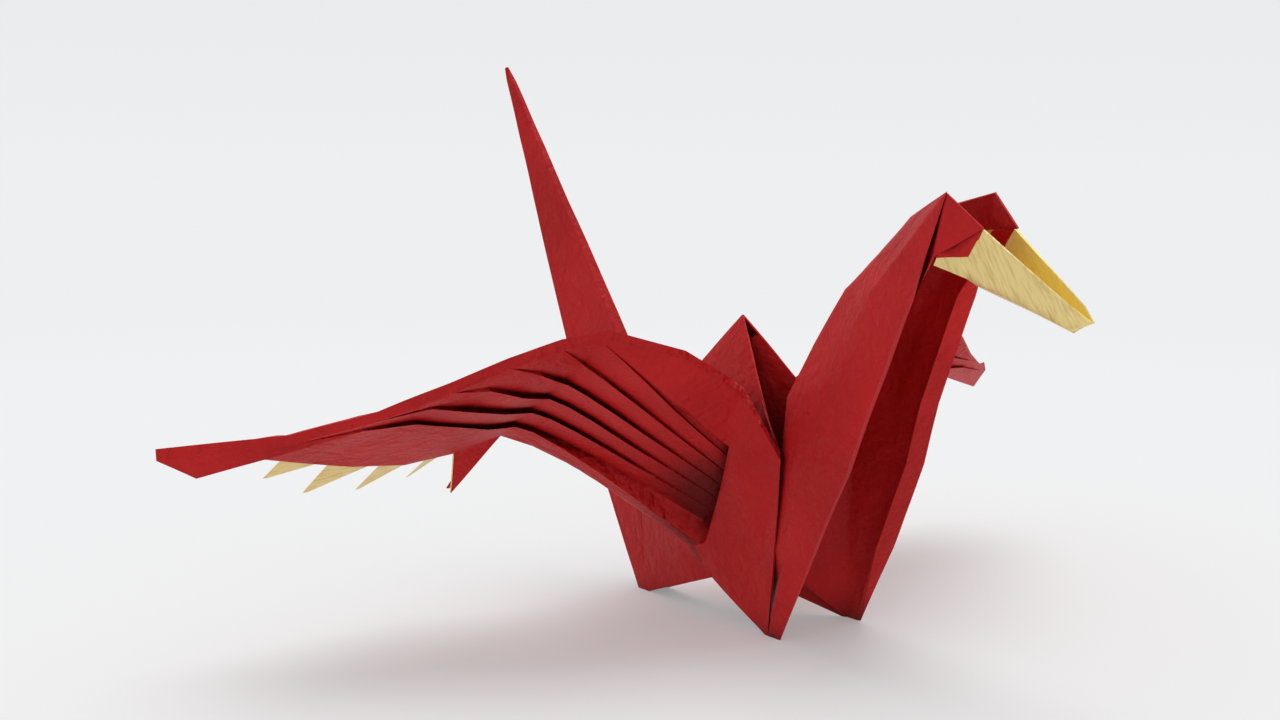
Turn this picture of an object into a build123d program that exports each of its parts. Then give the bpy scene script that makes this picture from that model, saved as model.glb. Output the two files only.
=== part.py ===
from build123d import *
import os

import numpy

os.makedirs("parts", exist_ok=True)

# An origami crane folded from one square sheet, standing on its own three feet.
# Millimetres. +X is towards the head, +Y towards the crane's left, +Z up, and the floor is z = 0.
# Every point below is given for the left side, where y is positive; the right side is its mirror image.

# Paper: its thickness, and how far a fold's mitre may reach out of it
PAPER = 0.4
LONGEST_MITRE = 0.55
SOFTENING = 0.05

# Wing: the folded leading edge and the line where the feathers end, both from the tip to the root.
# Pleats are counted from the tip, and their distances run along the leading edge.
WING_TIP = (-19, 106, 40)
LEADING_EDGE = (WING_TIP, (-6, 88, 42.8), (2, 75, 47), (16.5, 47, 58.8), (19.5, 38, 60),
                (24, 25, 55.5), (25, 13, 48.5))
FEATHER_LINE = ((-19.5, 92, 39.4), (-18, 76, 36.6), (-18.5, 59, 35), (-18, 38.5, 39.5))
WING_TIP_BLUNT = (1.5, -6, -3.5)
PLEAT_DISTANCES = (22, 37, 50, 61, 71, 80, 95)
LAST_FEATHER_END = (-17, 36.5, 38.7)
ROW_SEGMENTS = 5
CHORD_CAMBER = 0.8
CAMBER_ROWS = (0, 3)

# Pleats on top of the wing: the step from one to the next, and how much of the next one it covers
WING_UP = (-0.58, 0, 0.81)
PLEAT_STEP = 1.1
STEP_PLEATS = (0, 2)
PLEAT_OVERLAP = 0.3
OVERLAP_ROWS = (1, 3)

# Teeth at the ends of the feathers, measured from the end of each pleat, and the pleats over which they grow
TOOTH = (-7.2, 5.8, -6.8)
TOOTH_PLEATS = (0, 3)
SPIKE = (-5.5, 8.5, -13)
SPIKE_CLEARANCE = (1.0, 0, -0.7)

# Lower layer of the wing, which comes away from the upper one towards the body and the rear
LAYER_DROP = (0.8, 0, -3.0)
LAYERS_CLOSED = 0.42
LAYERS_OPEN_ROW = 4
LAYERS_OPEN_CHORD = 0.33
REAR_CLOSED = 0.6
REAR_CHORD = (0.7, 1)
REAR_ROWS = (6, 5)
UNDER_STEP = 1.5
UNDER_OVERLAP = 0.22
TUCK_FADE = (0.7, 1)

# Wing root, hinge and hump
ROOT_MIDDLE = ((24.8, 19, 52.2), (-17, 24, 32))
ROOT_INNER = ((25, 13, 48.5), (-21.5, 13, 34.5))
HINGE_FRONT = (30, 9.7, 37)
HINGE_REAR = (-19, 3.4, 33)
HINGE_DROP = (0.8, 0.6, -1.2)
REAR_EDGE_DROP = (0.35, 0, -0.6)
ROOT_CAMBER = 3.0
HUMP_TOP = (10, 0, 60)
HUMP_SWELL = 0.8
FRONT_CLEFT = (13, 0, 27)
REAR_CLEFT = (-8, 0, 25)
CLEFT_START = 0.15
CLEFT_SEGMENTS = 3

# Underside of the wing: pleats that fan out from a pocket behind the front flap of the body
GATHER_REAR = (4.5, 6.5, 15)
GATHER_FRONT = (8, 7.5, 16)
GATHER_SPREAD = 0.25
POCKET_BOTTOM = (6.5, 4.2, 19)
POCKET_TOP = (18.5, 7.9, 34.2)
FLAP_CORNER = (20.5, 13.1, 37.3)
FLAP_SHOULDER = (20.3, 23.5, 46.3)
POCKET_BEND = (17.9, 14.4, 41.5)
KNEE_ROW = 6
KNEE_FIRST = 0.87
KNEE_STEP = 0.165
KNEE_REACH = 8.0
KNEE_LEAN = (1.5, 0, -6)
FAN_SEGMENTS = 5
FLAP_SEGMENTS = 2

# Feet and the two hollow legs that carry them
FRONT_FOOT = (22.5, 10.6, 0)
FRONT_TOE = 3.0
REAR_FOOT = (-15.5, 2.4, 0)
REAR_TOE = 2.5
BELLY = (6.5, 4, 8.5)
FOOT_TRIM = 0.35

# How far the real crane is from symmetrical: offsets to the left, where they start and where they are full
BODY_OFFSET = -1.5
BODY_FADE = (20, 60)
FEET_OFFSET = 7.5
FEET_FADE = (45, 0)
FEET_REACH = (5, 22)
HEAD_OFFSET = -3.7
HEAD_FADE = (45, 72)
TAIL_OFFSET = -1.1
TAIL_FADE = (-20, -70)

# Neck: sections from the feet to the head, each as height at the front, front, side, back corner and back
NECK_SECTIONS = (
    ((36, 10.8, 18), (30, 10.8, 18), (25.6, 9.9, 18), (20, 0, 24)),
    ((46.3, 9.8, 36), (38, 9.8, 36.5), (29.6, 8.8, 36.5), (21.5, 0, 38)),
    ((52.1, 8.8, 48), (41, 8.8, 48), (29.5, 6.2, 47), (25.2, 0, 48.5)),
    ((56.6, 8.4, 57.5), (45, 8.4, 57.5), (34.5, 5.0, 57), (31.4, 0, 57.5)),
    ((61.2, 8.0, 67.5), (51, 8.2, 67.5), (41.5, 4.6, 67.5), (38.6, 0, 67.5)),
)
NECK_BOTTOM = ((18, 0, 11), (20, 6.5, 5))
TURNED_IN = (-1.6, -2.6, 0)
THROAT = (64.7, 6.4, 74.5)
HEAD_TOP = (66.6, 6.0, 84.6)
HEAD_BACK = (52.4, 0, 80.2)
BROW_SHARE = 0.6

# Head and beak
CHEEK_FRONT = (73.6, 4.2, 79.2)
BEAK_SECTIONS = (
    ((66.2, 4.9, 78.5), (65.4, 6.9, 73.4), (66.5, 0, 71.5)),
    ((73.4, 3.9, 79), (69.7, 3.0, 71.4), (69, 0, 70.2)),
    ((88.6, 1.8, 68.2), (88.2, 1.2, 64.9), (88.2, 0, 64.3)),
)
BEAK_NOSE = (91, 0, 66)
NOSE_WIDTH = 1.6

# Tail: sections from the foot to the tip, each as rear edge and front corner
TAIL_SECTIONS = (
    ((-26.5, 2.6, 15), (-17.3, 3.0, 17)),
    ((-33, 2.8, 28), (-18.4, 3.2, 33)),
    ((-42.5, 2.7, 47.5), (-25.4, 1.2, 49.5)),
    ((-54.5, 2.0, 74), (-44.5, 0.7, 75)),
    ((-65, 1.2, 97), (-61.5, 0.5, 97.5)),
    ((-70, 0.8, 107), (-68.6, 0.4, 107)),
)
TAIL_TIP = (-71.3, 0.35, 110)


def blend(start, end, share):
    """The point a given share of the way from one point to another."""
    return start + (end - start) * share


def halfway(start, end):
    return blend(start, end, 0.5)


def curve(start, control, end, share):
    """A point on the parabola that leaves one point and reaches another, bent towards a third."""
    return blend(blend(start, control, share), blend(control, end, share), share)


def line_of(start, end, count):
    """Evenly spaced points on a straight line, both ends included."""
    return [blend(start, end, step / count) for step in range(count + 1)]


def shares_along(row):
    """How far along its row each point lies, from 0 to 1, with a last entry that is never reached."""
    lengths = [0]
    for start, end in zip(row, row[1:]):
        lengths.append(lengths[-1] + (end - start).length)
    total = max(lengths[-1], PAPER / 100)
    return [length / total for length in lengths] + [2]


def mirrored(point):
    return Vector(point.X, -point.Y, point.Z)


def without_repeats(row):
    return row[:1] + [point for last, point in zip(row, row[1:]) if (point - last).length > PAPER / 10]


def share_of(value, fade):
    """How far a value has come from the start of a range to its end, from 0 to 1."""
    start, end = fade
    return min(1, max(0, (value - start) / (end - start)))


def settled(point):
    """Where a point of the symmetrical crane lies on the real one, whose maker left it a little askew."""
    offset = BODY_OFFSET * (1 - share_of(abs(point.Y), BODY_FADE))
    offset += FEET_OFFSET * share_of(point.Z, FEET_FADE) * share_of(point.X, FEET_REACH)
    offset += HEAD_OFFSET * share_of(point.X, HEAD_FADE)
    offset += TAIL_OFFSET * share_of(point.X, TAIL_FADE)
    return point + Vector(0, offset, 0)


class Sheet:
    """Folded paper as triangles between rows of points, which is then given its thickness."""

    def __init__(self):
        self.points = []
        self.numbers = {}
        self.facets = []

    def number(self, point):
        key = (round(point.X, 4), round(point.Y, 4), round(point.Z, 4))
        if key not in self.numbers:
            self.numbers[key] = len(self.points)
            self.points.append(point)
        return self.numbers[key]

    def facet(self, *corners):
        facet = tuple(self.number(corner) for corner in corners)
        if len(set(facet)) == len(facet):
            self.facets.append(facet)

    def strip(self, row, next_row):
        """Triangles between two rows, stepping along whichever of them has been left behind."""
        shares, next_shares = shares_along(row), shares_along(next_row)
        here, there = 0, 0
        while here < len(row) - 1 or there < len(next_row) - 1:
            if shares[here + 1] <= next_shares[there + 1]:
                self.facet(row[here], row[here + 1], next_row[there])
                here += 1
            else:
                self.facet(row[here], next_row[there + 1], next_row[there])
                there += 1

    def strips(self, rows):
        for row, next_row in zip(rows, rows[1:]):
            self.strip(row, next_row)

    def facing(self, facet):
        first, second, third = (self.points[corner] for corner in facet)
        return (second - first).cross(third - first).normalized()

    def offsets(self):
        """How far and which way each point moves to lie on the face of the paper, mitred at the folds."""
        spreads = numpy.zeros((len(self.points), 3, 3)) + SOFTENING * numpy.eye(3)
        sums = numpy.zeros((len(self.points), 3))
        for facet in self.facets:
            facing = numpy.array(tuple(self.facing(facet)))
            for corner in facet:
                spreads[corner] += numpy.outer(facing, facing)
                sums[corner] += facing
        offsets = []
        for spread, total in zip(spreads, sums):
            offset = Vector(*numpy.linalg.solve(spread, total)) * (PAPER / 2)
            offsets.append(offset * min(1, LONGEST_MITRE / offset.length))
        return offsets

    def solid(self, side=1):
        """The sheet as a solid, as it is drawn or, for side -1, as its mirror image."""
        self.points = [settled(point if side > 0 else mirrored(point)) for point in self.points]
        offsets = self.offsets()
        upper = [point + offset for point, offset in zip(self.points, offsets)]
        lower = [point - offset for point, offset in zip(self.points, offsets)]
        faces = []
        edges = set()
        for first, second, third in self.facets:
            faces.append((upper[first], upper[second], upper[third]))
            faces.append((lower[first], lower[third], lower[second]))
            edges.update(((first, second), (second, third), (third, first)))
        for start, end in sorted(edges):
            if (end, start) not in edges:
                faces.append((lower[start], lower[end], upper[end]))
                faces.append((lower[start], upper[end], upper[start]))
        shell = Shell([Face(Wire.make_polygon(corners)) for corners in faces])
        return Solid(shell)


def wing_rows():
    """The smooth top of a wing as rows from the leading edge to the feather line, tip first."""
    leading = Spline(*LEADING_EDGE)
    feathers = Spline(*FEATHER_LINE)
    tip = Vector(WING_TIP)
    ends = [(tip, tip + Vector(WING_TIP_BLUNT))]
    for index, distance in enumerate(PLEAT_DISTANCES):
        front = leading @ (distance / leading.length)
        share = index / (len(PLEAT_DISTANCES) - 2)
        back = feathers @ share if share <= 1 else Vector(LAST_FEATHER_END)
        ends.append((front, back))
    return [bowed_row(*row_ends, CHORD_CAMBER * share_of(number, CAMBER_ROWS))
            for number, row_ends in enumerate(ends)]


def bowed_row(front, back, camber):
    """A row of points between two ends that bows up by its camber in the middle."""
    row = []
    for index, point in enumerate(line_of(Vector(front), Vector(back), ROW_SEGMENTS)):
        share = index / ROW_SEGMENTS
        row.append(point + Vector(WING_UP) * (4 * camber * share * (1 - share)))
    return row


UNDER_HALF_STEP = Vector(WING_UP) * (UNDER_STEP / 2)
DROP = Vector(LAYER_DROP)
TOP_ROWS = wing_rows()
PLEATS = range(1, len(TOP_ROWS))
LAST_PLEAT = len(TOP_ROWS) - 1


def opening(row, share):
    """How far the wing's two layers have come apart, from 0 at its tip and leading edge to 1."""
    rear = 1 - REAR_CLOSED * share_of(share, REAR_CHORD) * share_of(row, REAR_ROWS)
    return rear * min(1, row / LAYERS_OPEN_ROW) * min(1, share / LAYERS_OPEN_CHORD)


def on_wing(row, share):
    """A point of the wing's lower layer, by its row, counted from the tip, and its share of the chord."""
    number = min(int(row), LAST_PLEAT - 1)
    place = share * ROW_SEGMENTS
    step = min(int(place), ROW_SEGMENTS - 1)
    outer = blend(TOP_ROWS[number][step], TOP_ROWS[number][step + 1], place - step)
    inner = blend(TOP_ROWS[number + 1][step], TOP_ROWS[number + 1][step + 1], place - step)
    return blend(outer, inner, row - number) + DROP * blend(LAYERS_CLOSED, 1, opening(row, share))


def half_step(number):
    """Half the step of a pleat on top of the wing, which is lower close to the tip."""
    return Vector(WING_UP) * (PLEAT_STEP / 2 * share_of(number, STEP_PLEATS))


def valley_row(number):
    """The hidden fold of a pleat, which lies below the pleat outside it and ever further under it."""
    hidden = TOP_ROWS[number][:1]
    for index in range(1, ROW_SEGMENTS + 1):
        share = PLEAT_OVERLAP * share_of(number, OVERLAP_ROWS) * (index - 1) / (ROW_SEGMENTS - 1)
        hidden.append(blend(TOP_ROWS[number][index], TOP_ROWS[number - 1][index], share) - half_step(number))
    return hidden


def upper_rows():
    """Rows of the upper layer, from the wing's tip over its pleats and hinge to the top of the hump."""
    rows = [TOP_ROWS[0]]
    for number in PLEATS:
        front, rest = TOP_ROWS[number][:1], TOP_ROWS[number][1:]
        rows.append(front + [point + half_step(number) for point in rest])
        rows.append(valley_row(number))
    rows.append(bowed_row(*ROOT_MIDDLE, ROOT_CAMBER))
    rows.append(bowed_row(*ROOT_INNER, ROOT_CAMBER))
    hinge = line_of(Vector(HINGE_FRONT), Vector(HINGE_REAR), ROW_SEGMENTS)
    top, swell = Vector(HUMP_TOP), Vector(0, HUMP_SWELL, 0)
    hump = [halfway(point, top) for point in hinge]
    rows.append(hinge)
    rows.append(hump[:1] + [point + swell for point in hump[1:-1]] + hump[-1:])
    rows.append([top] * len(hinge))
    return rows


def feather_end(number):
    """The lowest corner of the tooth that ends the feather behind a pleat."""
    end = TOP_ROWS[number][-1] - half_step(number)
    if number == LAST_PLEAT - 1:
        return end + Vector(SPIKE)
    return end + Vector(TOOTH) * share_of(number, TOOTH_PLEATS)


def gathered(share):
    """A point of the short line on the body where the rear panel's lines gather, rear to front."""
    return blend(Vector(GATHER_REAR), Vector(GATHER_FRONT), share)


def fan_line(start, end, control=None):
    """A line of the underside, from where it leaves the body to its end, bent on the way."""
    control = control or halfway(start, end)
    return [curve(start, control, end, step / FAN_SEGMENTS) for step in range(FAN_SEGMENTS + 1)]


def knee_share(number):
    """How far along the chord a pleat's line crosses it, where the underside bends into the fan."""
    return KNEE_FIRST - KNEE_STEP * (number - 1) if number else 1


def in_pocket(number):
    """Where a pleat of the underside starts, in the pocket behind the front flap."""
    return blend(Vector(POCKET_BOTTOM), Vector(POCKET_TOP), (number - 1) / (LAST_PLEAT - 1))


def bent_line(number, start):
    """The fan's part of a pleat's line, from the body to its knee under the wing."""
    share = knee_share(number)
    knee = on_wing(KNEE_ROW, share)
    return fan_line(start, knee, knee - Vector(0, KNEE_REACH, 0) + Vector(KNEE_LEAN) * (1 - share))


def chord_share(number, row):
    """How far along the chord a pleat's line crosses a row of the wing, on its way to the leading edge."""
    return knee_share(number) * max(0, 1 - (KNEE_ROW - row) / max(1, KNEE_ROW - number)) if number else 1


def tucked(fade):
    """How far a hidden fold is tucked in behind the pleat in front, once its step is high enough."""
    return UNDER_OVERLAP * share_of(fade, TUCK_FADE)


def lower_pleat(number):
    """The two edges of a pleat of the underside: the one in front, and the hidden one tucked in above it."""
    start = gathered(0.5) if number == 1 else in_pocket(number)
    front, hidden = bent_line(number, start), bent_line(number, in_pocket(number))
    behind = bent_line(number - 1, in_pocket(max(1, number - 1)))
    knee_step = opening(KNEE_ROW, knee_share(number))
    for index in range(1, FAN_SEGMENTS + 1):
        fade = min(1, 2 * index / FAN_SEGMENTS) * blend(1, knee_step, index / FAN_SEGMENTS)
        front[index] = front[index] - UNDER_HALF_STEP * fade
        hidden[index] = blend(hidden[index], behind[index], tucked(fade)) + UNDER_HALF_STEP * fade
    front_wing, hidden_wing = [front[-1]], [hidden[-1]]
    for row in range(KNEE_ROW - 1, number, -1):
        share, share_behind = chord_share(number, row), chord_share(number - 1, row)
        fade = opening(row, share)
        front_wing.append(on_wing(row, share) - UNDER_HALF_STEP * fade)
        hidden_wing.append(on_wing(row, blend(share, share_behind, tucked(fade))) + UNDER_HALF_STEP * fade)
    end = on_wing(number, 0)
    return (front, front_wing + [end]), (hidden, hidden_wing + [end])


def rear_panel(sheet):
    """The rear panel of the body, from the rear foot up to the wing's rear edge."""
    belly, foot = Vector(BELLY), Vector(REAR_FOOT)
    upper_edge = (HINGE_REAR, ROOT_INNER[1], ROOT_MIDDLE[1])
    edge = [Vector(end) + Vector(REAR_EDGE_DROP) for end in upper_edge]
    rows = [line_of(belly, foot, FAN_SEGMENTS)]
    ends = [halfway(foot, edge[0])] + edge
    for index, end in enumerate(ends):
        rows.append(fan_line(gathered(GATHER_SPREAD * (index - len(ends))), end))
    rows.append(bent_line(0, gathered(0)))
    starts = [row[0] for row in rows[1:]] + [gathered(0.5), gathered(1)]
    for start, next_start in zip(starts, starts[1:]):
        sheet.facet(belly, start, next_start)
    return rows


def front_flap(sheet, wing_end):
    """The front flap of the body, whose outer edge stands in front of the pocket."""
    belly, foot = Vector(BELLY), Vector(FRONT_FOOT)
    bottom, corner, shoulder = gathered(1), Vector(FLAP_CORNER), Vector(FLAP_SHOULDER)
    hinge = Vector(HINGE_FRONT) + Vector(HINGE_DROP)
    closed = DROP * LAYERS_CLOSED
    ends = [Vector(ROOT_MIDDLE[0]) + closed, Vector(ROOT_INNER[0]) + Vector(HINGE_DROP), hinge]
    edge = line_of(bottom, corner, FLAP_SEGMENTS)
    shoulder_edge = line_of(corner, shoulder, FLAP_SEGMENTS) + [wing_end]
    inner_edge = line_of(corner, hinge, FLAP_SEGMENTS)
    middle = fan_line(bottom, halfway(foot, hinge))
    sheet.strips([shoulder_edge] + [line_of(corner, end, FLAP_SEGMENTS) for end in ends])
    sheet.strips([edge + inner_edge[1:], middle, line_of(belly, foot, FAN_SEGMENTS)])
    return edge + shoulder_edge[1:], ends


def lower_sheet(sheet):
    """The lower layer: rear body panel, pleated underside of the wing and front body flap."""
    fans = rear_panel(sheet)
    wings = [[on_wing(row, 1) for row in range(KNEE_ROW, -1, -1)] + [on_wing(0, 0)]]
    for number in range(1, KNEE_ROW + 1):
        for fan, wing in lower_pleat(number):
            fans.append(fan)
            wings.append(wing)
    wing_end = on_wing(LAST_PLEAT, 0)
    fans.append(fan_line(Vector(POCKET_TOP), Vector(FLAP_SHOULDER), Vector(POCKET_BEND)) + [wing_end])
    sheet.strips(fans)
    sheet.strips(wings + [[wing_end]])
    edge, ends = front_flap(sheet, wing_end)
    pocket = [gathered(0.5)] + [in_pocket(number) for number in range(1, LAST_PLEAT)]
    sheet.strip(pocket + fans[-1][:-1], edge[:-1])
    spike = feather_end(LAST_PLEAT - 1) + Vector(SPIKE_CLEARANCE)
    sheet.facet(on_wing(KNEE_ROW - 1, 1), on_wing(KNEE_ROW, 1), spike)
    return [wing[-1] for wing in wings] + [wing_end] + ends


def wing_side(side):
    """One half of the hump, its wing and the half of the body below them."""
    sheet = Sheet()
    rows = upper_rows()
    sheet.strips(rows)
    for number in list(PLEATS)[:-1]:
        folded, hidden, next_folded = (row[-1] for row in rows[2 * number - 1:2 * number + 2])
        sheet.facet(folded, feather_end(number), hidden)
        sheet.facet(hidden, feather_end(number), next_folded)
    sheet.strip(without_repeats([row[0] for row in rows[:-2]]), without_repeats(lower_sheet(sheet)))
    return sheet.solid(side)


def cleft(edge_end, bottom):
    """The inward fold between the two halves of the hump, at its front or its rear."""
    top = Vector(HUMP_TOP)
    edge_end, bottom = Vector(edge_end), Vector(bottom)
    sheet = Sheet()
    left = line_of(blend(top, edge_end, CLEFT_START), edge_end, CLEFT_SEGMENTS)
    valley = line_of(blend(top, bottom, CLEFT_START), bottom, CLEFT_SEGMENTS)
    sheet.strips([left, valley, [mirrored(point) for point in left]])
    return sheet.solid()


def both_sides(left_half):
    """A row across the crane from its left half, whose last point lies on the centre line."""
    return left_half + [mirrored(point) for point in reversed(left_half[:-1])]


def neck():
    """The neck, a gutter open to the front with its edges turned in, and the head's two top corners."""
    foot = Vector(FRONT_FOOT)
    toe = foot + Vector(FRONT_TOE, 0, 0)
    middle, flank = (Vector(point) for point in NECK_BOTTOM)
    rows = [both_sides([toe, toe, foot, flank, middle])]
    for section in NECK_SECTIONS:
        left_half = [Vector(point) for point in section]
        rows.append(both_sides([left_half[0] + Vector(TURNED_IN)] + left_half))
    throat, top, back = Vector(THROAT), Vector(HEAD_TOP), Vector(HEAD_BACK)
    rows.append(both_sides([throat, throat, top, blend(top, back, BROW_SHARE), back]))
    sheet = Sheet()
    sheet.strips(rows)
    return sheet.solid()


def cheek(side):
    """One side of the head, a triangle folded forward from the top of the neck."""
    sheet = Sheet()
    sheet.facet(Vector(HEAD_TOP), Vector(THROAT), Vector(CHEEK_FRONT))
    return sheet.solid(side)


def beak():
    """The beak, a trough that opens upwards."""
    rows = [both_sides([Vector(point) for point in section]) for section in BEAK_SECTIONS]
    nose, edge = Vector(BEAK_NOSE), Vector(0, NOSE_WIDTH / 2, 0)
    rows.append([nose + edge, nose, nose - edge])
    sheet = Sheet()
    sheet.strips(rows)
    return sheet.solid()


def tail():
    """The tail, a narrow gutter that opens to the rear."""
    foot = Vector(REAR_FOOT)
    heel = foot - Vector(REAR_TOE, 0, 0)
    rows = [[heel, foot, mirrored(foot), mirrored(heel)]]
    for edge, corner in TAIL_SECTIONS:
        edge, corner = Vector(edge), Vector(corner)
        rows.append([edge, corner, mirrored(corner), mirrored(edge)])
    tip = Vector(TAIL_TIP)
    rows.append([tip, tip, mirrored(tip), mirrored(tip)])
    sheet = Sheet()
    sheet.strips(rows)
    return sheet.solid()


pieces = [wing_side(1), wing_side(-1)]
pieces += [cleft(HINGE_FRONT, FRONT_CLEFT), cleft(HINGE_REAR, REAR_CLEFT)]
pieces += [neck(), cheek(1), cheek(-1), beak(), tail()]
crane = pieces[0].fuse(*pieces[1:]).solid().split(Plane.XY.offset(FOOT_TRIM), keep=Keep.TOP)
middle = crane.bounding_box().center()
crane = crane.moved(Location((-middle.X, -middle.Y, -FOOT_TRIM)))
export_step(crane, "parts/folded_sheet.step")
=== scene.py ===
# %% [markdown]
# # An origami crane in red and gold paper
#
# The real crane is one square of soft mulberry paper, red on the front and gold on the back.
# All its folds are already in the solid model that this scene loads, so the lesson here is the paper itself:
# how to turn crisp flat facets into a sheet that looks handled, creased and a little worn.

import math

import bmesh
import bpy
from mathutils import Matrix, Vector, noise
from mathutils.bvhtree import BVHTree


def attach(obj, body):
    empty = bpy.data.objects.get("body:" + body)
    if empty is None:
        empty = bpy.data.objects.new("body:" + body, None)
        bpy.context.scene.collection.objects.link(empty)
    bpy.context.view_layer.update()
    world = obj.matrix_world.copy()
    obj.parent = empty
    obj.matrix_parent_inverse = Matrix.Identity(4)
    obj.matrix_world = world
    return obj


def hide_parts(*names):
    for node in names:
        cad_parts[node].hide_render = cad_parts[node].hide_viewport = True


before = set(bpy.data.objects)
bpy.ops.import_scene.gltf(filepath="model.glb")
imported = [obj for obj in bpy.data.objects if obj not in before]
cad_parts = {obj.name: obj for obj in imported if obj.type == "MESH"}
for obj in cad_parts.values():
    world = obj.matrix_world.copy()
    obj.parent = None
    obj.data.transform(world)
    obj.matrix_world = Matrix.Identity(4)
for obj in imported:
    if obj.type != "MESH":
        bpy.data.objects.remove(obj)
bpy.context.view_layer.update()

# %% [markdown]
# ## Start from a copy
#
# The imported mesh keeps every triangle apart from its neighbours, which suits a checker but not a modeller.
# A copy whose double points are merged has real shared edges, and those can be subdivided and bent.
# Edges with next to no length are dissolved as well, because they would only disturb the shading.

# %% Copy and merge the sheet
MM = 0.001
NODE = "folded_sheet"
SAME_POINT, NO_LENGTH = 0.002 * MM, 0.005 * MM

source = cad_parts[NODE]
sheet = bmesh.new()
sheet.from_mesh(source.data)
bmesh.ops.remove_doubles(sheet, verts=sheet.verts, dist=SAME_POINT)
bmesh.ops.dissolve_degenerate(sheet, edges=sheet.edges, dist=NO_LENGTH)
print("merged sheet:", len(sheet.verts), "points,", len(sheet.faces), "triangles")

# %% [markdown]
# ## Which faces are the cut or folded edge of the paper?
#
# On the real crane every fold and every cut edge shows as a thin paler line, where the dye has rubbed off.
# A broad face of the sheet has its other side right behind it, but a narrow edge face looks along the paper.
# So a ray sent inwards from each narrow face tells them apart: a short way through means a sliver of a broad face,
# and a long way means an edge.

# %% Mark the paper's edges
NARROW = 1.0 * MM
SHORT_WAY = 1.4 * MM
RAY_START, RAY_LENGTH = 0.02 * MM, 60 * MM

faces_tree = BVHTree.FromBMesh(sheet)
edge_mark = sheet.faces.layers.int.new("edge_mark")
for face in sheet.faces:
    start = face.calc_center_median() - face.normal * RAY_START
    place, _, _, way = faces_tree.ray_cast(start, -face.normal, RAY_LENGTH)
    width = 2 * face.calc_area() / max(edge.calc_length() for edge in face.edges)
    face[edge_mark] = int(width < NARROW and (place is None or way > SHORT_WAY))
print("edge faces:", sum(face[edge_mark] for face in sheet.faces))

# %% [markdown]
# ## Where the gold side shows
#
# The back of the paper is gold, and it comes to light in two places: the beak, which is turned inside out,
# and the undersides of the teeth at the ends of the feathers.
# Both are easy to describe in words, so each face is tested against a few planes and limits,
# which are measured from the same points as the solid's head and wings.
# On the head the border runs down the neck's front, along the lower edge of the cheek and up its front,
# and behind it only the inner faces of the beak's two halves are gold.

# %% Describe the gold beak
THROAT = Vector((54.9, 0, 74.1)) * MM
CHEEK_CORNER = Vector((60.5, 0, 74.3)) * MM
CHEEK_FRONT = Vector((63.8, 0, 78.9)) * MM
NECK_FRONT = Vector((47.5, 0, 57.2)) * MM
HEEL = Vector((55.6, 0, 74.1)) * MM
BORDER = ((NECK_FRONT, HEEL), (THROAT, CHEEK_CORNER), (CHEEK_CORNER, CHEEK_FRONT))
HEAD_MIDDLE = -4.6 * MM
HEAD_BACK, HEAD_BOTTOM = 54.2 * MM, 60 * MM
CHEEK_HALF_WIDTH = 5.6 * MM
CHEEK_TAPER = 0.26


def on_head(point):
    return point.z > HEAD_BOTTOM and point.x > HEAD_BACK


def side_of(point, start, end):
    """Distance in front of a line drawn in the side view, positive below and ahead of it."""
    run, rise = end.x - start.x, end.z - start.z
    return ((point.x - start.x) * rise - (point.z - start.z) * run) / math.hypot(run, rise)


def looks_inwards(face):
    """Whether a face of the head looks towards its middle."""
    return face.normal.y * (face.calc_center_median().y - HEAD_MIDDLE) < 0


def gold_on_head(face):
    point = face.calc_center_median()
    before_neck, below_cheek, before_cheek = (side_of(point, *line) > 0 for line in BORDER)
    half_width = CHEEK_HALF_WIDTH - CHEEK_TAPER * (point.x - THROAT.x)
    inside = looks_inwards(face) and point.x > THROAT.x and abs(point.y - HEAD_MIDDLE) < half_width
    return (before_neck and (below_cheek or before_cheek)) or inside


print("the cheeks reach", round((CHEEK_FRONT.x - THROAT.x) / MM, 1), "mm ahead of the throat")

# %% [markdown]
# ## The gold teeth
#
# Each feather of a wing ends in a tooth, and only the underside of the tooth is gold.
# The feathers end along a bent line, which a few points describe well enough: distance from the crane's middle
# and place along the crane, in millimetres.
# Whatever is past that line and looks down and forward belongs to the underside of a tooth.

# %% Describe the gold teeth
FIRST_TOOTH = 45.4 * MM
FEATHER_LINE = ((36, -27.3), (59, -28.3), (76, -27.8), (92, -30.8), (99, -31.5))
PAST_FEATHERS = 0.3
DOWN_AND_FORWARD = 0.1


def feather_x(width):
    """Where the feathers end, at a given distance from the crane's middle."""
    for (inner, inner_x), (outer, outer_x) in zip(FEATHER_LINE, FEATHER_LINE[1:]):
        if inner <= width <= outer:
            return inner_x + (outer_x - inner_x) * (width - inner) / (outer - inner)
    return -math.inf


def beyond_feathers(point, margin):
    """Whether a point of the wing lies on a tooth, past the feather line by at least the margin in millimetres."""
    return point.x / MM < feather_x(abs(point.y) / MM) - margin


def gold_on_teeth(face):
    point = face.calc_center_median()
    looks_down = face.normal.x - face.normal.z > DOWN_AND_FORWARD
    return looks_down and abs(point.y) > FIRST_TOOTH and beyond_feathers(point, PAST_FEATHERS)


print("the teeth begin", round(FIRST_TOOTH / MM, 1), "mm from the middle")

# %% [markdown]
# ## A crisp border on the head
#
# A face is either red or gold, so the border can only run along edges.
# The bisect operator cuts the head's faces where a plane passes through them, which puts edges where they are needed.

# %% Cut the head and mark the gold faces
def cut_head(start, end):
    """Cut the head's faces where the plane through a line of the side view passes."""
    across = Vector((end.z - start.z, 0, start.x - end.x))
    faces = [face for face in sheet.faces if on_head(face.calc_center_median())]
    parts = faces + list(dict.fromkeys(edge for face in faces for edge in face.edges))
    parts += list(dict.fromkeys(vert for face in faces for vert in face.verts))
    bmesh.ops.bisect_plane(sheet, geom=parts, dist=0.001 * MM, plane_co=start, plane_no=across)


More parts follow.
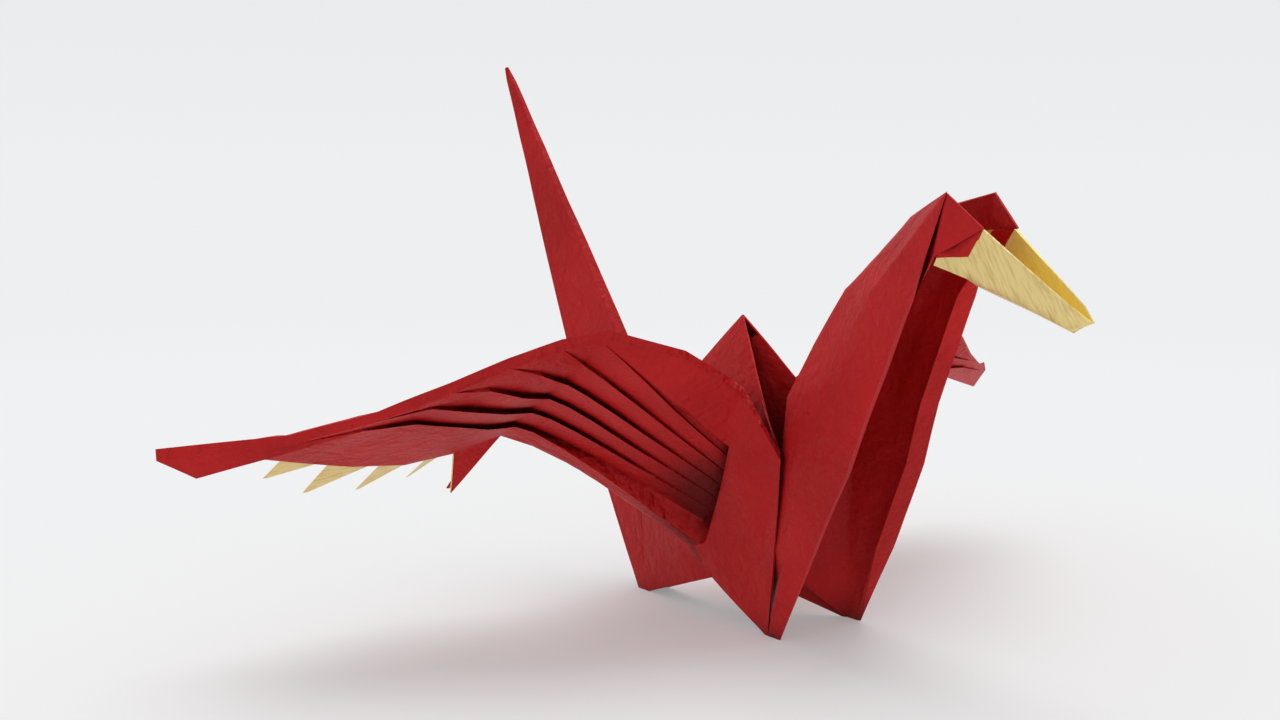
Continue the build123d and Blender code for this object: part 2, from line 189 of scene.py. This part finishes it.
def triangulate(mesh):
    bmesh.ops.triangulate(mesh, faces=[face for face in mesh.faces if len(face.verts) > 3])


for start, end in BORDER:
    cut_head(start, end)
triangulate(sheet)
gold_mark = sheet.faces.layers.int.new("gold_mark")
for face in sheet.faces:
    is_gold = gold_on_head if on_head(face.calc_center_median()) else gold_on_teeth
    face[gold_mark] = int(is_gold(face))
print("gold faces:", sum(face[gold_mark] for face in sheet.faces))

# %% [markdown]
# ## A fine mesh
#
# Only small, even triangles can carry the soft waves of paper.
# So every long edge is cut in half, again and again, and the smaller faces keep the marks of the face they come from.

# %% Cut the long edges
LONGEST_EDGE = 2.2 * MM
MOST_ROUNDS = 8

for _ in range(MOST_ROUNDS):
    long_edges = [edge for edge in sheet.edges if edge.calc_length() > LONGEST_EDGE]
    if not long_edges:
        break
    bmesh.ops.subdivide_edges(sheet, edges=long_edges, cuts=1)
    triangulate(sheet)
print("fine sheet:", len(sheet.verts), "points,", len(sheet.faces), "triangles")

# %% [markdown]
# ## Ease the facets, keep the folds
#
# A curved stretch of the solid is a fan of flat triangles.
# Averaging each point with its neighbours rounds it, as paper does when it is curled by hand.
# A fold has to stay crisp, so a point is left alone when any edge that meets it turns sharply.
# The sheet is thin and has two sides, so no point may move far: a side that crossed the other would tear the paper.
# The teeth of the feathers stay as they are, because easing would blunt them.

# %% Smooth between the folds
SHARP_FOLD = math.radians(28)
EASING_ROUNDS = 6
EASING_LIMIT = 0.13 * MM
BEFORE_TEETH = 1


def on_fold(vert):
    return any(len(edge.link_faces) != 2 or edge.calc_face_angle(0) > SHARP_FOLD for edge in vert.link_edges)


soft_points = [vert for vert in sheet.verts if not on_fold(vert) and not beyond_feathers(vert.co, -BEFORE_TEETH)]
starts = [vert.co.copy() for vert in soft_points]
for _ in range(EASING_ROUNDS):
    bmesh.ops.smooth_vert(sheet, verts=soft_points, factor=0.5, use_axis_x=True, use_axis_y=True, use_axis_z=True)
for vert, start in zip(soft_points, starts):
    move = vert.co - start
    vert.co = start + move * min(1, EASING_LIMIT / max(move.length, EASING_LIMIT))
print("points eased:", len(soft_points))

# %% [markdown]
# ## Waves and wrinkles
#
# Handled mulberry paper is never flat: it has slow waves of a few centimetres, and shallower ones of about one.
# Both come from noise that depends only on where a point is in space, each with its length and height in millimetres.
# Vector noise starts from a random offset, so its seed is set, and the same crane comes out of every run.
# The waves fade out towards the feet, which have to stay on the table.
# The two sides of the sheet lie less than half a millimetre apart, so they read nearly the same noise
# and move together, and the paper keeps its thickness.

# %% Bend the sheet
WAVES = ((34, 0.35), (11, 0.13))
STILL_FEET = 12 * MM
WAVE_SEED = 1

noise.seed_set(WAVE_SEED)


def wave(point):
    """How far a point of the sheet is moved, in metres."""
    move = Vector()
    for length, height in WAVES:
        move += noise.noise_vector(point / (length * MM)) * height * MM
    return move * min(1, point.z / STILL_FEET)


for vert in sheet.verts:
    vert.co += wave(vert.co)
print("waves of", [length for length, _ in WAVES], "mm bend", len(sheet.verts), "points")

# %% [markdown]
# ## One finished piece
#
# The material has to know which faces are what, so each mark becomes a face attribute that the shader can read.
# Three more are added here: the tops of the wings, the inner faces of the beak,
# and the faces that look down, as the pleats under the wings do.
# The crane then rides on the model's one body, and the node that it was copied from is hidden.

# %% Turn the working mesh into the crane
WING_START = 13 * MM
TOP_SLOPE, UNDER_SLOPE = 0.15, -0.46


def is_wing_top(face):
    return face.normal.z > TOP_SLOPE and abs(face.calc_center_median().y) > WING_START


marks = {
    "gold": lambda face: face[gold_mark],
    "rim": lambda face: face[edge_mark],
    "inner": lambda face: face[gold_mark] and looks_inwards(face),
    "top": is_wing_top,
    "under": lambda face: face.normal.z < UNDER_SLOPE,
}
crane_mesh = bpy.data.meshes.new("crane_paper")
sheet.to_mesh(crane_mesh)
for name, mark in marks.items():
    values = [float(mark(face)) for face in sheet.faces]
    crane_mesh.attributes.new(name, "FLOAT", "FACE").data.foreach_set("value", values)
    print(name, "faces:", int(sum(values)))
crane_mesh.validate()
sheet.free()
crane = bpy.data.objects.new("crane_paper", crane_mesh)
bpy.context.scene.collection.objects.link(crane)
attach(crane, "root")
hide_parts(NODE)
print("crane:", len(crane_mesh.polygons), "triangles")

# %% [markdown]
# ## Smooth shading that stops at the folds
#
# Shading is smooth apart from the folds, so the light rolls over the waves and breaks at each crease.
# A few narrow faces in the steps between the pleats would borrow their shading from a face that points elsewhere,
# and show as black dashes, so they are shaded flat.

# %% Shade the paper
CREASE = math.radians(30)
STRAY_SHADING = math.cos(math.radians(40))

crane_mesh.shade_smooth()
crane_mesh.set_sharp_from_angle(angle=CREASE)
corner_normals = [Vector(corner.vector) for corner in crane_mesh.corner_normals]
for polygon in crane_mesh.polygons:
    strays = [corner_normals[corner].dot(polygon.normal) < STRAY_SHADING for corner in polygon.loop_indices]
    polygon.use_smooth = not any(strays)
print("shaded flat:", sum(not polygon.use_smooth for polygon in crane_mesh.polygons), "triangles")

# %% [markdown]
# ## Shader maths as plain expressions
#
# Node sockets can't be added or multiplied in Python as they are.
# A small wrapper gives them the usual operators, and each use of an operator adds one Math node.
# All other nodes come from one method, so the paper, the table and the room are each a few lines long.

# %% A wrapper for sockets
class Value:
    def __init__(self, paint, socket):
        self.paint, self.socket = paint, socket

    def maths(self, operation, *values):
        return self.paint.node("ShaderNodeMath", {"operation": operation}, *values)

    def __add__(self, other):
        return self.maths("ADD", self, other)

    def __sub__(self, other):
        return self.maths("SUBTRACT", self, other)

    def __rsub__(self, other):
        return self.maths("SUBTRACT", other, self)

    def __mul__(self, other):
        return self.maths("MULTIPLY", self, other)

    __radd__, __rmul__ = __add__, __mul__

    def __abs__(self):
        return self.maths("ABSOLUTE", self)

    def between(self, low, high):
        """0 below the low value, 1 above the high one, and a smooth ramp from one to the other."""
        return self.paint.node("ShaderNodeMapRange", {"interpolation_type": "SMOOTHSTEP"}, self, low, high, 0, 1)


class Paint:
    """The nodes of a material, or of the world, under construction."""

    def __init__(self, owner, shader="Principled BSDF"):
        owner.use_nodes = True
        self.nodes, self.links = owner.node_tree.nodes, owner.node_tree.links
        self.shader = self.nodes[shader]

    def node(self, kind, settings, *values, output=0, **named):
        """A new node: its settings first, and then values or links for its sockets, in their order or by name."""
        made = self.nodes.new(kind)
        for key, setting in settings.items():
            setattr(made, key, setting)
        for key, value in [*enumerate(values), *named.items()]:
            self.set(made.inputs[key.replace("_", " ") if isinstance(key, str) else key], value)
        return Value(self, made.outputs[output])

    def set(self, socket, value):
        if isinstance(value, Value):
            self.links.new(value.socket, socket)
        else:
            socket.default_value = value

    def mix(self, share, first, second):
        """One colour or another, by a share from 0 to 1."""
        return self.node("ShaderNodeMix", {"data_type": "RGBA"}, Factor=share, A=first, B=second, output=2)

    def mark(self, name):
        """A face attribute of the crane, 0 or 1."""
        return self.node("ShaderNodeAttribute", {"attribute_name": name}, output=2)

    def axes(self, place):
        """The three coordinates of a place, one by one."""
        return (self.node("ShaderNodeSeparateXYZ", {}, place, output=axis) for axis in range(3))

    def noise(self, place, scale, detail=2, roughness=0.5, distortion=0):
        return self.node("ShaderNodeTexNoise", {}, Vector=place, Scale=scale, Detail=detail,
                         Roughness=roughness, Distortion=distortion)


print("shader helpers ready")

# %% [markdown]
# ## Pillows in the paper
#
# The paper is hand made and was crumpled before it was folded, so it is covered in small puffy pillows.
# The distance of a noise pattern from its middle value gives such pillows, with creases where it crosses the middle.
# Two sizes are added together, and they are far stronger on the tops of the wings, where the paper was left loose,
# than on their undersides and on the body, neck and tail, which were pressed flat.

# %% Shape the pillows
LARGE_PUFF, SMALL_PUFF = 5.4 * MM, 2.7 * MM
LARGE_SHARE = 0.62
PUFF_HEIGHT = 2.2
PRESSED_FLAT = 0.32


def puffs(paint, place, size):
    """Soft pillows about half as wide as size, 0 in the creases between them and nearly 1 on their tops."""
    pattern = paint.noise(place, 1 / size, detail=2, roughness=0.45, distortion=0.3)
    return abs(pattern * 2 - 1) * PUFF_HEIGHT


def crumples(paint, place):
    both = puffs(paint, place, LARGE_PUFF) * LARGE_SHARE + puffs(paint, place, SMALL_PUFF) * (1 - LARGE_SHARE)
    return both * (PRESSED_FLAT + paint.mark("top") * (1 - PRESSED_FLAT))


print("pillows of about", [round(size / 2 / MM, 1) for size in (LARGE_PUFF, SMALL_PUFF)], "mm")

# %% [markdown]
# ## Red dye and a painted highlight
#
# The dye is a little uneven, in clouds about two centimetres wide.
# It is paler on single fibres, which hands have rubbed, and along the paper's edges, and the pillows' tops are made
# paler as a painted highlight.

# %% Dye the paper red and paint a highlight on the pillows
RED_DEEP = (0.41, 0.005, 0.006, 1)
RED_WARM = (0.53, 0.009, 0.010, 1)
# Paler red: rubbed fibres and edges, and also a painted highlight on the pillows' tops.
RED_RUBBED_AND_HIGHLIT = (0.68, 0.038, 0.036, 1)


def red_dye_and_highlight(paint, clouds, fibres, crumple):
    red = paint.mix(clouds.between(0.3, 0.7), RED_DEEP, RED_WARM)
    # Fibres are real rubbed paper; the crumple share is a painted highlight on the pillows' tops, strongest on the
    # wing tops.
    red = paint.mix(fibres.between(0.5, 0.8) * 0.2 + crumple * 0.15, red, RED_RUBBED_AND_HIGHLIT)
    return paint.mix(paint.mark("rim") * 0.3, red, RED_RUBBED_AND_HIGHLIT)


print("three reds:", RED_DEEP[:3], RED_WARM[:3], RED_RUBBED_AND_HIGHLIT[:3])

# %% [markdown]
# ## Where the paper is darker
#
# Deep in the folds each layer keeps the light from the next, and the dye looks nearly black.
# An Ambient Occlusion node measures how open the surroundings of a point are, so it finds these places.
# Hardly any light comes back out of the pocket behind the front flap, where the pleats gather,
# so there the faces that look down get a shade of their own, which fades with the distance from the pocket's middle.

# %% Shade the folds
RED_SHADED = (0.10, 0.001, 0.001, 1)
FOLD_REACH = 9 * MM
POCKET = Vector((2, 8.5, 22)) * MM
POCKET_REACH = 19 * MM


def shade_folds(paint, red, place):
    open_air = paint.node("ShaderNodeAmbientOcclusion", {"samples": 8}, Distance=FOLD_REACH, output=1)
    red = paint.mix(open_air.between(0.1, 0.78), RED_SHADED, red)
    x, y, z = paint.axes(place)
    either_side = paint.node("ShaderNodeCombineXYZ", {}, x, abs(y), z)
    away = paint.node("ShaderNodeVectorMath", {"operation": "DISTANCE"}, either_side, POCKET, output=1)
    depth = 1 - away.between(POCKET_REACH * 0.3, POCKET_REACH)
    return paint.mix(depth * paint.mark("under") * 0.9, red, RED_SHADED)


print("the pocket's shade reaches", round(POCKET_REACH / MM), "mm")

# %% [markdown]
# ## Brass on the beak and the teeth
#
# The gold side is a thin metal film on the same paper, brushed in one direction where the beak was creased and rolled.
# Noise that is stretched along a slanting line gives such strokes.
# Inside the beak each half lights the other up, so the gold there is brighter and yellower.

# %% Brush the gold
GOLD_PALE = (0.88, 0.70, 0.30, 1)
GOLD_DEEP = (0.62, 0.42, 0.13, 1)
GOLD_BRIGHT = (0.98, 0.78, 0.16, 1)
STROKES_ACROSS, STROKES_ALONG = 2600, 300


def brush_gold(paint, place):
    x, y, z = paint.axes(place)
    across, along = x * 0.9 + z * 0.45, z * 0.9 - x * 0.45
    streaks = paint.node("ShaderNodeCombineXYZ", {}, across * STROKES_ACROSS,
                         y * STROKES_ALONG, along * STROKES_ALONG)
    brushed = paint.noise(streaks, 1, detail=2)
    brass = paint.mix(brushed.between(0.4, 0.8) * 0.7, GOLD_PALE, GOLD_DEEP)
    in_beak = paint.mark("inner") * x.between(HEAD_BACK, HEAD_BACK + MM)
    return paint.mix(in_beak * 0.75, brass, GOLD_BRIGHT)


print("two golds and the one inside the beak:", GOLD_PALE[:3], GOLD_DEEP[:3], GOLD_BRIGHT[:3])

# %% [markdown]
# ## One material for both sides
#
# The gold mark chooses between the two colours, and makes the surface half metal and a little smoother.
# The red side is matt with a faint sheen, so its specular level is low.
# Pillows, fibres and fine specks together feed one Bump node, and the gold film hides most of the pillows.

# %% Paint the paper
CLOUDS, FIBRES, SPECKS = 40, 900, 2400
BUMP_HEIGHT = 0.95 * MM
RED_ROUGH, GOLD_ROUGH = 0.5, 0.42
HALF_METAL = 0.5

paper_material = bpy.data.materials.new("mulberry_paper")
paper = Paint(paper_material)
place = paper.node("ShaderNodeTexCoord", {}, output=3)
gold = paper.mark("gold")
crumple = crumples(paper, place)
clouds = paper.noise(place, CLOUDS, detail=3)
fibres = paper.noise(place, FIBRES, detail=4, roughness=0.7)
specks = paper.noise(place, SPECKS, detail=2, roughness=0.6)

red = shade_folds(paper, red_dye_and_highlight(paper, clouds, fibres, crumple), place)
paper.set(paper.shader.inputs["Base Color"], paper.mix(gold, red, brush_gold(paper, place)))
paper.set(paper.shader.inputs["Metallic"], gold * HALF_METAL)
red_rough = RED_ROUGH + specks.between(0.3, 0.7) * 0.14
paper.set(paper.shader.inputs["Roughness"], red_rough * (1 - gold) + gold * GOLD_ROUGH)
paper.shader.inputs["Specular IOR Level"].default_value = 0.2
height = crumple * (1 - gold * 0.85) + fibres * 0.08 + specks * 0.015
bump = paper.node("ShaderNodeBump", {}, Height=height, Strength=1, Distance=BUMP_HEIGHT)
paper.set(paper.shader.inputs["Normal"], bump)
crane_mesh.materials.append(paper_material)
print("paper nodes:", len(paper.nodes))

# %% [markdown]
# ## A white table in a white room
#
# The crane stands on smooth white card that runs out of sight on all sides.
# It lies a hair under the feet, because two surfaces in one place would flicker.
# Far from the crane the card fades into an even glow of the room's own colour, so no horizon line shows.
# Near the crane it is mostly plain card, which keeps the shadow, with a little of the glow to keep it light.

# %% Lay the table
TABLE_HALF = 3.0
CARD_WHITE = (0.86, 0.865, 0.86, 1)
BACKDROP_LOW = (0.85, 0.86, 0.87, 1)
FADE_START, FADE_END = 0.22, 0.8
GLOW_NEAR = 0.28
UNDER_FEET = 0.05 * MM

table_form = bmesh.new()
bmesh.ops.create_grid(table_form, x_segments=2, y_segments=2, size=TABLE_HALF)
bmesh.ops.translate(table_form, verts=table_form.verts, vec=(0, 0, -UNDER_FEET))
table_mesh = bpy.data.meshes.new("white_table")
table_form.to_mesh(table_mesh)
table_form.free()
table = bpy.data.objects.new("white_table", table_mesh)
bpy.context.scene.collection.objects.link(table)

card_material = bpy.data.materials.new("white_card")
card = Paint(card_material)
card.set(card.shader.inputs["Base Color"], CARD_WHITE)
card.set(card.shader.inputs["Roughness"], 0.8)
card.shader.inputs["Specular IOR Level"].default_value = 0.1
card_place = card.node("ShaderNodeTexCoord", {}, output=3)
away = card.node("ShaderNodeVectorMath", {"operation": "LENGTH"}, card_place, output=1)
glow = card.node("ShaderNodeEmission", {}, BACKDROP_LOW)
plain_card = Value(card, card.shader.outputs["BSDF"])
share = GLOW_NEAR + away.between(FADE_START, FADE_END) * (1 - GLOW_NEAR)
surface = card.node("ShaderNodeMixShader", {}, share, plain_card, glow)
card.set(card.nodes["Material Output"].inputs["Surface"], surface)
table_mesh.materials.append(card_material)
print("table laid", 2 * TABLE_HALF, "m wide")

# %% [markdown]
# ## Soft light
#
# The photograph has hardly any hard shadow, so most of the light comes from the white room itself,
# and one very wide lamp above, a little behind the crane and to its left, draws the soft shadow under it.
# A sun lamp suits this, because its angle alone sets how soft the shadow is.

# %% Hang the lamp
LAMP_STRENGTH = 1.25
LAMP_ANGLE = math.radians(50)
LAMP_FROM = Vector((-0.25, 0.22, 1))

light = bpy.data.lights.new("wide_lamp", "SUN")
light.energy = LAMP_STRENGTH
light.angle = LAMP_ANGLE
lamp = bpy.data.objects.new("wide_lamp", light)
lamp.rotation_euler = LAMP_FROM.to_track_quat("Z", "Y").to_euler()
bpy.context.scene.collection.objects.link(lamp)
print("lamp of strength", LAMP_STRENGTH, "shines from", [round(step, 2) for step in LAMP_FROM])

# %% [markdown]
# ## The white room
#
# The room lights the crane evenly from all sides.
# The camera sees it in a paler colour than the light it gives, through the Light Path node,
# and that colour turns a little darker and bluer with height.

# %% Light the room
ROOM_LIGHT = 0.66
ROOM_COLOUR = (ROOM_LIGHT, ROOM_LIGHT, ROOM_LIGHT * 1.02, 1)
BACKDROP_HIGH = (0.76, 0.765, 0.78, 1)
HIGH = 0.35

world = bpy.data.worlds.new("white_room")
room = Paint(world, "Background")
room.shader.inputs["Color"].default_value = ROOM_COLOUR
direction = room.node("ShaderNodeTexCoord", {}, output=0)
climb = room.node("ShaderNodeSeparateXYZ", {}, direction, output=2)
backdrop = room.mix(room.node("ShaderNodeMapRange", {}, climb, From_Max=HIGH), BACKDROP_LOW, BACKDROP_HIGH)
seen_room = room.node("ShaderNodeBackground", {}, backdrop)
seen_by_camera = room.node("ShaderNodeLightPath", {}, output=0)
lit_room = Value(room, room.shader.outputs["Background"])
surface = room.node("ShaderNodeMixShader", {}, seen_by_camera, lit_room, seen_room)
room.set(room.nodes["World Output"].inputs["Surface"], surface)
bpy.context.scene.world = world
bpy.context.scene.view_settings.view_transform = "Standard"
print("room light", ROOM_LIGHT)

# %% [markdown]
# ## The camera
#
# The picture was taken from a little above the table, in front and to the crane's right,
# with a lens that is neither wide nor long, and close enough for the near wing to look large.

# %% Place the camera
AZIMUTH, ELEVATION, ROLL = math.radians(51.9), math.radians(8.3), math.radians(0.7)
AIM = Vector((-23.9, -7.6, 43.2)) * MM
DISTANCE = 310.5 * MM

camera_data = bpy.data.cameras.new("camera")
camera_data.lens = 43
camera_data.shift_y = 0.022
camera_data.clip_start = 0.01
camera = bpy.data.objects.new("camera", camera_data)
turn = Matrix.Rotation(AZIMUTH, 3, "Z") @ Matrix.Rotation(math.pi / 2 - ELEVATION, 3, "X")
turn = turn @ Matrix.Rotation(ROLL, 3, "Z")
camera.matrix_world = Matrix.Translation(AIM + turn.col[2] * DISTANCE) @ turn.to_4x4()
bpy.context.scene.collection.objects.link(camera)
bpy.context.scene.camera = camera
print("camera at", [round(1000 * step) for step in camera.location], "mm")
